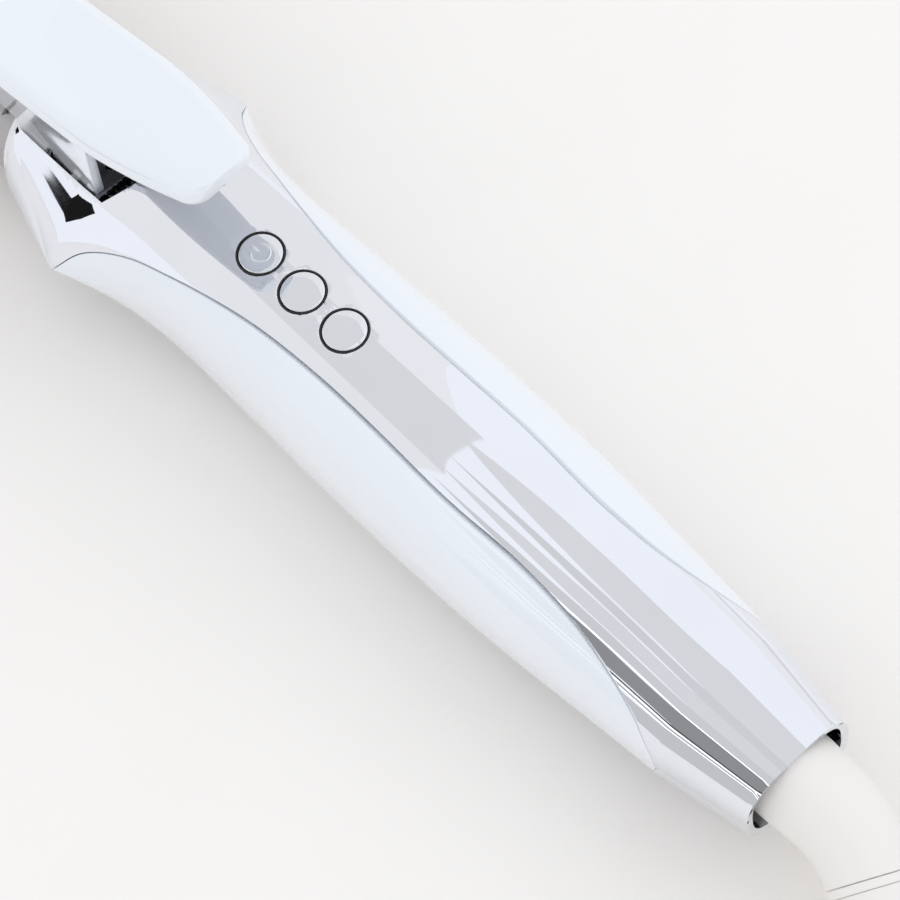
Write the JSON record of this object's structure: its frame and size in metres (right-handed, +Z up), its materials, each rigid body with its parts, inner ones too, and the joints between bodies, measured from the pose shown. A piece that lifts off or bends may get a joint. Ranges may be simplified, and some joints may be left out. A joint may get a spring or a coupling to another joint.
{
  "type": "curling iron",
  "caption": "Clamp curling iron with a round heated barrel, sprung thumb lever, waisted chrome handle with white side panels, round buttons and a bent swivelling cord gland.",
  "frame": {"origin": "on the surface the iron lies on, under the middle of its box", "axes": "+X along the barrel towards the cool tip, +Y towards the left side panel, +Z up through the lever and buttons"},
  "size_m": [0.3478, 0.048, 0.058],
  "materials": {
    "chrome": "mirror chrome plating on moulded plastic",
    "white_gloss": "high gloss cool white",
    "ivory_plastic": "satin warm white",
    "heatproof_white": "satin heat resistant white",
    "barrel_finish": "satin coated",
    "black_seal": "satin black",
    "aluminium": "milled",
    "steel": "plain",
    "brass": "plain",
    "inner_plastic": "glass filled, dark grey",
    "ceramic": "unglazed ceramic",
    "board_green": "solder mask",
    "component_black": "moulded epoxy",
    "lead_white": "silicone sleeve",
    "lead_red": "silicone sleeve"
  },
  "bodies": {
    "handle": {"top_shell": "chrome", "bottom_shell": "chrome", "left_panel": "white_gloss", "right_panel": "white_gloss", "button_rings": "black_seal", "circuit_board": "board_green", "tact_switches": "component_black", "board_screws": "steel", "triac": "component_black", "capacitor": "aluminium", "power_supply": "component_black", "case_screws": "steel", "holder_screws": "steel", "barrel_tube": "barrel_finish", "barrel_collar": "heatproof_white", "barrel_holder": "inner_plastic", "upper_heat_spreader": "aluminium", "lower_heat_spreader": "aluminium", "ceramic_heaters": "ceramic", "thermistor": "ceramic", "thermal_fuse": "steel", "cool_tip": "heatproof_white", "tip_screw": "steel", "tip_anchor": "inner_plastic", "hinge_pin": "steel", "clamp_spring": "steel", "hinge_spacers": "inner_plastic", "swivel_bearing": "inner_plastic", "swivel_washer": "inner_plastic", "contact_brushes": "brass", "brush_holder": "inner_plastic", "mains_leads": "lead_white", "heater_leads": "lead_red"},
    "clamp": {"lever": "white_gloss", "clamp_plate": "barrel_finish", "clamp_rivets": "steel"},
    "power_key": {"power_button": "chrome"},
    "minus_key": {"minus_button": "chrome"},
    "plus_key": {"plus_button": "chrome"},
    "swivel": {"swivel_elbow": "ivory_plastic", "gland_band": "ivory_plastic", "gland_cap": "ivory_plastic", "swivel_clip": "steel", "contact_rings": "brass"}
  },
  "joints": [
    {"name": "clamp_hinge", "type": "hinge", "parent": "handle", "child": "clamp", "pos_m": [0.0274, 0, 0.0275], "axis": [0, -1, 0], "range_deg": [0, 20], "stiffness_Nm_per_rad": 0.4, "springref_deg": -40.11},
    {"name": "power_press", "type": "slide", "parent": "handle", "child": "power_key", "axis": [0, 0, -1], "range_m": [0, 0.0005], "stiffness_N_per_m": 3000, "springref_m": -0.0005},
    {"name": "minus_press", "type": "slide", "parent": "handle", "child": "minus_key", "axis": [0, 0, -1], "range_m": [0, 0.0005], "stiffness_N_per_m": 3000, "springref_m": -0.0005},
    {"name": "plus_press", "type": "slide", "parent": "handle", "child": "plus_key", "axis": [0, 0, -1], "range_m": [0, 0.0005], "stiffness_N_per_m": 3000, "springref_m": -0.0005},
    {"name": "swivel_spin", "type": "hinge", "parent": "handle", "child": "swivel", "pos_m": [-0.1435, 0, 0.018], "axis": [1, 0, 0], "continuous": true}
  ]
}
